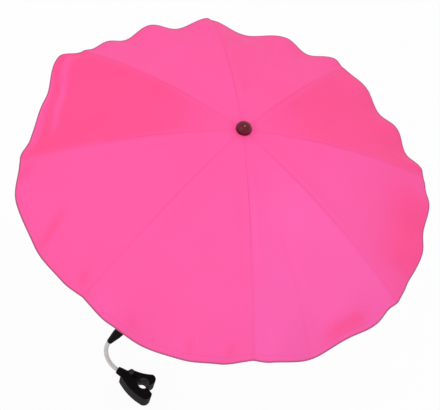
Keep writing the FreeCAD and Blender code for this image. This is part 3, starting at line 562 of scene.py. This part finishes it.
# %% Creases of the cloth
# From and to, as shares across and along the gore, half width in millimetres, and how much lighter
# it is painted, as painted light and shade; the same amount sets how high it stands.
CREASES = {
    1: (
        ((0.29, 0.94), (0.32, 0.97), 7, -0.25),
        ((0.64, 0.93), (0.66, 0.98), 6, -0.25),
        ((0.88, 0.93), (0.88, 0.98), 6, -0.25),
    ),
    2: (
        ((0.47, 0.965), (0.78, 0.95), 12, -0.65),
        ((0.40, 0.53), (0.38, 0.72), 4, -0.14),
        ((0.38, 0.72), (0.35, 1.00), 4, -0.14),
    ),
    3: (((0.15, 0.95), (0.90, 0.92), 45, -0.55),),
    7: (((0.07, 0.955), (0.80, 0.905), 6, 0.5), ((0.22, 1.01), (0.97, 0.98), 8, 0.6)),
    8: (
        ((0.05, 0.95), (0.14, 0.99), 9, -0.3),
        ((0.45, 0.86), (0.60, 0.99), 7, -0.35),
        ((0.90, 0.92), (0.95, 0.97), 5, -0.3),
    ),
}
GORE_WIDE, GORE_LONG = 270 * MM, 350 * MM


def creases(gore, across, along):
    """How far the creases near a place of a gore paint it lighter or darker, as painted light and
    shade. The same amount, scaled, is their relief.
    """
    total = np.zeros(np.broadcast(across, along).shape)
    x, y = (across - 0.5) * along * GORE_WIDE, along * GORE_LONG
    for (u0, v0), (u1, v1), wide, amount in CREASES.get(gore, ()):
        ax, ay = (u0 - 0.5) * v0 * GORE_WIDE, v0 * GORE_LONG
        bx, by = (u1 - 0.5) * v1 * GORE_WIDE - ax, v1 * GORE_LONG - ay
        run = np.clip(((x - ax) * bx + (y - ay) * by) / (bx**2 + by**2), 0, 1)
        away = np.hypot(x - ax - run * bx, y - ay - run * by)
        faint_ends = 1 - 0.7 * (2 * run - 1) ** 4
        total = total + amount * faint_ends * np.exp(-((away / (wide * MM)) ** 2))
    return total


print("creases:", sum(len(lines) for lines in CREASES.values()))

# %% [markdown]
# Each gore looks a little lighter or darker than the next, as the light meets it at another
# slant. Lamps set up for it could show this, but would light the other pieces unevenly. So the
# light and shade of each gore is painted into the cloth, fading towards the cap, and two gores
# run together softly over their seam.

# %% Painted light and shade of the gores
# 0 is the pink in painted shade of the cloth finish and 1 the pink in painted light.
GORE_PAINTED_SHADE = {1: 0.65, 2: 0.95, 3: 0.68, 4: 0.15, 5: 0.4, 6: 0.5, 7: 0.05, 8: 0.55}
APEX_PAINTED_SHADE = 0.5
PAINTED_SHADE_GROWS = (0.05, 0.5)
HALF_GORE = math.pi / RIB_COUNT


def step(low, high, value):
    """A smooth step from 0 at low to 1 at high."""
    share = np.clip((value - low) / (high - low), 0, 1)
    return share * share * (3 - 2 * share)


# Painted light and shade of a place of a gore, with that of its creases.
def gore_painted_shade(gore, across, along):
    fade = 0.1 + 0.9 * step(*PAINTED_SHADE_GROWS, along)
    return APEX_PAINTED_SHADE + (GORE_PAINTED_SHADE[gore] - APEX_PAINTED_SHADE) * fade + creases(gore, across, along)


def over_gores(rib, side, along, field, soft):
    """A field of the gores on both sides of a rib, run together within a soft width of the seam."""
    before, _ = neighbours(rib)
    left, right = field(before, 1 + side / 2, along), field(rib, side / 2, along)
    seam = (field(before, np.ones(1), along) + field(rib, np.zeros(1), along)) / 2
    off_seam = step(0, soft, np.abs(side) * HALF_GORE * along * HEM_OUT)
    return seam + (np.where(side < 0, left, right) - seam) * off_seam


print("tints from", min(GORE_PAINTED_SHADE.values()), "to", max(GORE_PAINTED_SHADE.values()))

# %% [markdown]
# Small forms stand on the sheet: puckers where the cloth is gathered under the cap, the creases,
# and a slight lift over each stretcher's rivet, which keeps the cloth clear of it when it folds. A
# bump in the finish could draw them, but moves nothing, so they are real heights.

# %% Small forms on the sheet
PUCKER, PUCKER_COUNT = 0.35 * MM, 6
CREASE_RELIEF, SOFT_RELIEF = 1.2 * MM, 20 * MM
rivet = Vector(joints["stretcher_hinge_1"]["pos_m"]) - hub
RIVET_OUT = math.hypot(rivet.x, rivet.y)
RIVET_REACH, RIVET_LIFT = 14 * MM, 0.9 * MM
# Where the puckers start and end, as shares of the way from the cap to the hem.
PUCKER_GROWS, PUCKER_FADES = (0.03, 0.045), (0.05, 0.11)
# Where the lift ends, as a share of the way from the rib to the sector's edge.
RIVET_FADES = (0.15, 0.45)


def small_relief(rib, out, side):
    """Height of the puckers round the cap, of the creases and of the lift over the rivet."""
    share = out / HEM_OUT
    pucker = PUCKER * np.cos(PUCKER_COUNT * np.pi * side)
    pucker = pucker * step(*PUCKER_GROWS, share) * (1 - step(*PUCKER_FADES, share))
    over_rivet = np.exp(-(((out - RIVET_OUT) / RIVET_REACH) ** 2))
    over_rivet = over_rivet * (1 - step(*RIVET_FADES, np.abs(side)))
    creased = over_gores(rib, side, share, creases, SOFT_RELIEF)
    return pucker + CREASE_RELIEF * creased + RIVET_LIFT * over_rivet


print("rivet at", round(RIVET_OUT / MM, 1), "mm from the canopy's axis")

# %% [markdown]
# Between two ribs the stretched cloth spans straight and a little hollow; only near the cap and
# the hem is it round. A flat panel for each gore would miss that. So a formula carries the line
# over the rib sideways: a chord that turns into an arc, less a hollow, plus the hem's waves. A
# narrow band stays flat on the rib, so that the rib stays under the cloth when it folds.
# Neighbouring sectors get the same edge, so they meet without a gap.

# %% The whole sheet
HOLLOW, HOLLOW_EASED = 7 * MM, 0.5
HEM_CENTRE_SHARE = 0.985
RIB_FLAT, RIB_FLAT_MOST = 11 * MM, 0.5
WAVES_POWER = 1.4
# Where each of these starts and ends, as shares of the way from the cap to the hem.
ROUND_AT_CAP, ROUND_AT_HEM = (0.035, 0.16), (0.6, 1.02)
HOLLOW_GROWS, HOLLOW_EASES = (0.04, 0.45), (0.6, 1.0)
WAVES_GROW, SLACK_GROWS = (0.76, 1.0), (0.55, 1.0)


def cloth_places(rib, rows, sides):
    """Distance out, angle and height of the sheet. sides run from -1 to 1 across a sector."""
    out, ridge, slope = (rows[:, k][:, None] for k in range(3))
    side = sides[None, :]
    share = out / HEM_OUT
    angle = HALF_GORE * side
    on_rib = np.minimum(RIB_FLAT / (HALF_GORE * out), RIB_FLAT_MOST)
    swell = 1 - (1 - np.clip((np.abs(side) - on_rib) / (1 - on_rib), 0, 1)) ** 2
    chord = math.cos(HALF_GORE) / np.cos(HALF_GORE - np.abs(angle))
    arc = 1 - (1 - HEM_CENTRE_SHARE) * swell
    roundness = step(*ROUND_AT_HEM, share) + 1 - step(*ROUND_AT_CAP, share)
    radius = out * (chord + (arc - chord) * roundness)
    fall = (radius - out * chord) * np.tan(slope)
    hollow = HOLLOW * step(*HOLLOW_GROWS, share)
    hollow = hollow * (1 - HOLLOW_EASED * step(*HOLLOW_EASES, share))
    lift, slack = hem_moves(rib, side)
    lift = lift * step(*WAVES_GROW, share) ** WAVES_POWER
    slack = slack * step(*SLACK_GROWS, share)
    radius = radius + lift * np.sin(slope) + slack * np.cos(slope)
    height = ridge - fall - hollow * swell + lift * np.cos(slope) - slack * np.sin(slope)
    return radius, angle * np.ones_like(radius), height + small_relief(rib, out, side)


lowest = min(cloth_places(i, RIDGE, np.linspace(-1, 1, 41))[2].min() for i in RIBS)
print("the sheet hangs", round(-lowest / MM, 1), "mm below the hub")

# %% [markdown]
# A sewn hem is turned under and sewn down. A thick edge could stand in for it, but the turned
# cloth shows from below. So a sector's grid runs from the cap to the hem, turns in a small bead
# and comes back under for a seam's width. The three maps of the cloth finish are measured on the
# same grid.

# %% Grid of one sector
SIDE_POINTS = 73
SIDES = np.linspace(-1, 1, SIDE_POINTS)
# The bead's radius and middle, outward and under from the hem's edge, in millimetres.
BEAD, BEAD_OUT, BEAD_UNDER = 1.1, 1.0, 0.2
BEAD_TURNS = np.radians((155, 110, 65, 20, -25, -70, -115, -150))
HEM_TURN = [(BEAD_OUT + BEAD * math.cos(t), BEAD_UNDER - BEAD * math.sin(t)) for t in BEAD_TURNS]
HEM_TURN += [(-1.0, 0.95), (-3.0, 1.1), (-7.5, 1.1)]
SOFT_SEAM = 9 * MM


def hem_turned(grid):
    """The rows that turn under the last row of a grid."""
    edge = grid[-1]
    outward = edge - grid[-2]
    outward /= np.linalg.norm(outward, axis=-1, keepdims=True)
    under = np.cross(outward, np.gradient(edge, axis=0))
    under /= np.linalg.norm(under, axis=-1, keepdims=True)
    under *= -np.sign(under[:, 2:3])
    return np.array([edge + outward * (a * MM) + under * (b * MM) for a, b in HEM_TURN])


def repeat_last(values):
    """Values of the grid's rows, with the last row's values for the rows that turn under."""
    return np.concatenate([values, np.repeat(values[-1:], len(HEM_TURN), axis=0)])


def sector_grid(rib):
    """Points of a sector and its maps: a name, and the two numbers that each point has there."""
    radius, angle, height = cloth_places(rib, RIDGE, SIDES)
    turn = angle + rib_ways[rib]
    x, y = hub.x + radius * np.cos(turn), hub.y + radius * np.sin(turn)
    grid = np.stack([x, y, hub.z + height], axis=-1)
    grid = np.concatenate([grid, hem_turned(grid)])
    steps = np.linalg.norm(np.diff(grid, axis=0), axis=-1)
    along = np.concatenate([np.zeros((1, SIDE_POINTS)), np.cumsum(steps, axis=0)])
    to_hem = along[len(RIDGE) - 1] - along
    across = repeat_last(radius * np.sin(angle))
    # The painted light and shade of the gores and their creases, as a map.
    painted_shade = over_gores(rib, SIDES[None, :], RIDGE[:, :1] / HEM_OUT, gore_painted_shade, SOFT_SEAM)
    painted_shade = repeat_last(painted_shade)
    return grid, (("cloth", across, along), ("hem", to_hem, across), ("gore", painted_shade, painted_shade))


print("points in a sector's grid:", (len(RIDGE) + len(HEM_TURN)) * SIDE_POINTS)

# %% [markdown]
# The grid becomes a mesh with one square between four points. A plane could be cut up and pulled
# into place by hand, but a formula's points go straight into mesh code. Solidify then gives the
# sheet the thickness of cloth, towards the inside, so that its outer face stays where the formula
# puts it.

# %% Mesh of one sector
CLOTH_THICKNESS = 0.4 * MM
CLOTH_SMOOTH = math.radians(50)


def cloth_mesh(rib):
    grid, maps = sector_grid(rib)
    rows, columns = grid.shape[:2]
    squares = [
        (i * columns + j, i * columns + j + 1, (i + 1) * columns + j + 1, (i + 1) * columns + j)
        for i in range(rows - 1)
        for j in range(columns - 1)
    ]
    mesh = bpy.data.meshes.new(f"canopy_cloth_{rib}")
    mesh.from_pydata(grid.reshape(-1, 3).tolist(), [], squares)
    index = np.zeros(len(mesh.loops), dtype=np.int32)
    mesh.loops.foreach_get("vertex_index", index)
    for name, first, second in maps:
        layer = mesh.uv_layers.new(name=name)
        pairs = np.stack([first.ravel()[index], second.ravel()[index]], axis=-1)
        layer.data.foreach_set("uv", pairs.ravel())
    mesh.materials.append(CLOTH)
    halfway_down = mesh.polygons[(columns - 1) * (len(RIDGE) // 2)]
    if halfway_down.normal.z < 0:
        mesh.flip_normals()
    return mesh


def cloth_sector(rib):
    cloth = bpy.data.objects.new(f"canopy_cloth_{rib}", cloth_mesh(rib))
    bpy.context.scene.collection.objects.link(cloth)
    bpy.ops.object.select_all(action="DESELECT")
    cloth.select_set(True)
    bpy.context.view_layer.objects.active = cloth
    thick = cloth.modifiers.new("thick", "SOLIDIFY")
    thick.thickness = CLOTH_THICKNESS
    thick.offset = -1
    bpy.ops.object.modifier_apply(modifier="thick")
    bpy.ops.object.shade_smooth_by_angle(angle=CLOTH_SMOOTH)
    return cloth


sectors = {i: cloth_sector(i) for i in RIBS}
print("cloth sectors", len(sectors), "faces in one", len(sectors[1].data.polygons))

# %% [markdown]
# When the runner slides down, the ribs fold to the pole and the loose cloth is rolled round them.
# A simulation can't run for every place of the runner. Here each sector rides on its rib, in place
# of the CAD panel, which is hidden, and gets a mesh of its own.

# %% Let the cloth ride on the ribs
for i, cloth in sectors.items():
    area = sum(p.area for p in cloth.data.polygons) / 2
    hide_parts(f"canopy_panel_{i}")
    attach(cloth, f"rib_{i}")
    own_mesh(cloth)
print("area of a sector", round(area, 4), "m2")

# %% [markdown]
# The neck is a flexible tube with close rounded ribs, held in the clamp at one end and in the
# pole's socket at the other. Its middle line is straight in both and one round bend between them.
# It could be drawn by eye, but both ends have to sit in their holes, so the clamp's box and the
# pole's axis give it.

# %% Route of the neck
NECK_BEND = 45 * MM
NECK_GRIP = 11.95 * MM
NECK_ROOT = 4.5 * MM
NECK_CREST = 5.0 * MM
GRIP_HANDLE = 0.3 * NECK_GRIP
ROUTE_STEPS = 48
neck_start = Vector((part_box("clamp_body")[0][0], 0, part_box("gooseneck")[0][2] + NECK_CREST))
neck_out = Vector((-1, 0, 0))
up_pole = Vector(joints["pole_turn"]["axis"]).normalized()
neck_side = (up_pole - neck_out * up_pole.dot(neck_out)).normalized()
neck_turn = neck_out.angle(up_pole)
neck_end = neck_start + NECK_BEND * (
    neck_out * math.sin(neck_turn) + neck_side * (1 - math.cos(neck_turn))
)


def neck_route():
    """A Bezier line along the neck, and its length."""
    bend_handle = 4 / 3 * math.tan(neck_turn / 4) * NECK_BEND
    stops = (
        (neck_start - neck_out * NECK_GRIP, neck_out, GRIP_HANDLE, GRIP_HANDLE),
        (neck_start, neck_out, GRIP_HANDLE, bend_handle),
        (neck_end, up_pole, bend_handle, GRIP_HANDLE),
        (neck_end + up_pole * NECK_GRIP, up_pole, GRIP_HANDLE, GRIP_HANDLE),
    )
    curve = bpy.data.curves.new("neck_route", "CURVE")
    curve.dimensions = "3D"
    curve.resolution_u = ROUTE_STEPS
    curve.twist_mode = "MINIMUM"
    spline = curve.splines.new("BEZIER")
    spline.bezier_points.add(len(stops) - 1)
    for point, (place, way, back, ahead) in zip(spline.bezier_points, stops):
        point.co = place
        point.handle_left = place - way * back
        point.handle_right = place + way * ahead
    route = bpy.data.objects.new("neck_route", curve)
    bpy.context.scene.collection.objects.link(route)
    return route, spline.calc_length()


route, route_length = neck_route()
print("neck turns", round(math.degrees(neck_turn), 1), "degrees in", round(route_length, 4), "m")

# %% [markdown]
# All ribs of the neck are alike, so one is modelled and repeated. A plain tube with a bump would
# have a smooth outline, where the real one is ribbed. So a ring is extruded and scaled step by
# step into one rounded rib, an Array repeats it, and a Curve modifier lays the row along the
# route.

# %% Ribbed tube of the neck
NECK_RIBS = 36
RING_POINTS = 40
RIB_STEPS = 8
RING_MERGE = 0.02 * MM
NECK_SMOOTH = math.radians(60)


def one_neck_rib(pitch):
    bpy.ops.object.select_all(action="DESELECT")
    bpy.ops.mesh.primitive_circle_add(vertices=RING_POINTS, radius=NECK_ROOT)
    bpy.ops.object.mode_set(mode="EDIT")
    bpy.ops.mesh.select_all(action="SELECT")
    swells = [math.sin(math.pi * k / RIB_STEPS) for k in range(RIB_STEPS + 1)]
    radii = [NECK_ROOT + (NECK_CREST - NECK_ROOT) * swell for swell in swells]
    for before, after in zip(radii, radii[1:]):
        rise = {"value": (0, 0, pitch / RIB_STEPS)}
        bpy.ops.mesh.extrude_region_move(TRANSFORM_OT_translate=rise)
        bpy.ops.transform.resize(value=(after / before, after / before, 1))
    bpy.ops.object.mode_set(mode="OBJECT")
    return bpy.context.object


def flexible_neck(route, length):
    pitch = length / NECK_RIBS
    neck = one_neck_rib(pitch)
    neck.name = "flexible_neck"
    row = neck.modifiers.new("row", "ARRAY")
    row.count = NECK_RIBS
    row.use_relative_offset = False
    row.use_constant_offset = True
    row.constant_offset_displace = (0, 0, pitch)
    row.use_merge_vertices = True
    row.merge_threshold = RING_MERGE
    lay = neck.modifiers.new("lay", "CURVE")
    lay.object = route
    lay.deform_axis = "POS_Z"
    bpy.ops.object.modifier_apply(modifier="row")
    bpy.ops.object.modifier_apply(modifier="lay")
    bpy.data.objects.remove(route)
    bpy.ops.object.mode_set(mode="EDIT")
    bpy.ops.mesh.select_all(action="SELECT")
    bpy.ops.mesh.fill_holes(sides=RING_POINTS)
    bpy.ops.mesh.normals_make_consistent(inside=False)
    bpy.ops.object.mode_set(mode="OBJECT")
    bpy.ops.object.shade_smooth_by_angle(angle=NECK_SMOOTH)
    return neck


neck = flexible_neck(route, route_length)
print("neck faces", len(neck.data.polygons))

# %% [markdown]
# The neck is a pale grey, a little clouded where hands have bent it. The real one bends; here it
# takes the place of the CAD neck, which is hidden, and its place in the scene is baked into its
# mesh.

# %% Finish of the neck
NECK_PALE, NECK_CLOUDED = ink(216, 226, 219), ink(198, 206, 200)
NECK_GRAIN_DEEP = 0.1 * MM


def neck_finish():
    material, shader, maker = new_finish("grey_neck", Metallic=0.0, Specular_IOR_Level=0.5)
    place = place_on_piece(maker)
    cloud = noise(maker, place, 120.0, 4.0)
    fine = noise(maker, place, 1600.0, 2.0)
    link((cloud * 0.7).mix(NECK_PALE, NECK_CLOUDED), shader, "Base Color")
    link(0.32 + cloud * 0.14, shader, "Roughness")
    bump(maker, fine, 0.1, NECK_GRAIN_DEEP, shader)
    return material


neck.data.materials.append(neck_finish())
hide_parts("gooseneck")
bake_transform(neck)
print("neck bends between", [round(v, 3) for v in neck_start], [round(v, 3) for v in neck_end])

# %% [markdown]
# The photograph's background is plain white. More light on the floor could whiten it, but would
# bleach the cloth too. So the floor is a pale grey for the light, and white only for rays from the
# camera, from mirrors and through glass. A small share of the grey is left in, so the shadow still
# shows.

# %% Floor
FLOOR_DROP = 2 * MM
FLOOR_SIZE = 24
FLOOR_GREY = (0.93, 0.93, 0.93, 1)
FLOOR_WHITE = 0.94
WHITE = (1, 1, 1, 1)
SEEING_RAYS = ("Is Camera Ray", "Is Glossy Ray", "Is Transmission Ray")


def seen(maker):
    """1 on rays that see, 0 on rays that only carry light."""
    rays = maker.node("ShaderNodeLightPath").output.node.outputs
    straight, mirrored, through = (Sock(maker.tree, rays[name]) for name in SEEING_RAYS)
    return straight + mirrored + through


def white_floor():
    place = (hub.x, hub.y, cad_box[0][2] - FLOOR_DROP)
    bpy.ops.object.select_all(action="DESELECT")
    bpy.ops.mesh.primitive_plane_add(size=FLOOR_SIZE, location=place)
    floor = bpy.context.object
    floor.name = "studio_floor"
    material, shader, maker = new_finish("white_floor", Roughness=0.9, Base_Color=FLOOR_GREY)
    glow = maker.node("ShaderNodeEmission", None, {"Color": WHITE, "Strength": 1.0})
    shaded = Sock(maker.tree, shader.outputs[0])
    inputs = {0: seen(maker) * FLOOR_WHITE, 1: shaded, 2: glow}
    surface = next(n for n in maker.tree.nodes if n.type == "OUTPUT_MATERIAL")
    link(maker.node("ShaderNodeMixShader", None, inputs), surface, "Surface")
    floor.data.materials.append(material)
    return floor


print("floor at", round(white_floor().location.z, 4))

# %% [markdown]
# The light is that of a product picture: soft and nearly even. One strong lamp would draw hard
# shadows on the gores. So an even sky gives most of the light, a wide lamp overhead gives the
# canopy its form, and a wider, weaker one fills in from the front. Rays that see meet a white sky.

# %% Lamps and sky
# Place from the hub in metres, width in metres, watts.
LAMPS = {
    "key_lamp": ((0.0, 0.3, 2.3), 0.9, 15),
    "fill_lamp": ((-0.9, -1.5, 1.4), 1.6, 7),
}
SKY_LIGHT = 0.72


def soft_lamp(name, from_hub, size, watts):
    bpy.ops.object.select_all(action="DESELECT")
    bpy.ops.object.light_add(type="AREA", location=hub + Vector(from_hub))
    lamp = bpy.context.object
    lamp.name = name
    lamp.data.shape = "DISK"
    lamp.data.size = size
    lamp.data.energy = watts
    lamp.rotation_euler = (-Vector(from_hub)).to_track_quat("-Z", "Y").to_euler()


def even_sky():
    world = bpy.data.worlds.new("studio_sky")
    bpy.context.scene.world = world
    world.use_nodes = True
    back = next(n for n in world.node_tree.nodes if n.type == "BACKGROUND")
    back.inputs["Color"].default_value = WHITE
    link(seen(Sock(world.node_tree)) * (1.0 - SKY_LIGHT) + SKY_LIGHT, back, "Strength")


for name, (from_hub, size, watts) in LAMPS.items():
    soft_lamp(name, from_hub, size, watts)
even_sky()
bpy.context.scene.view_settings.view_transform = "Standard"
print("lamps", len(LAMPS), "sky", SKY_LIGHT)
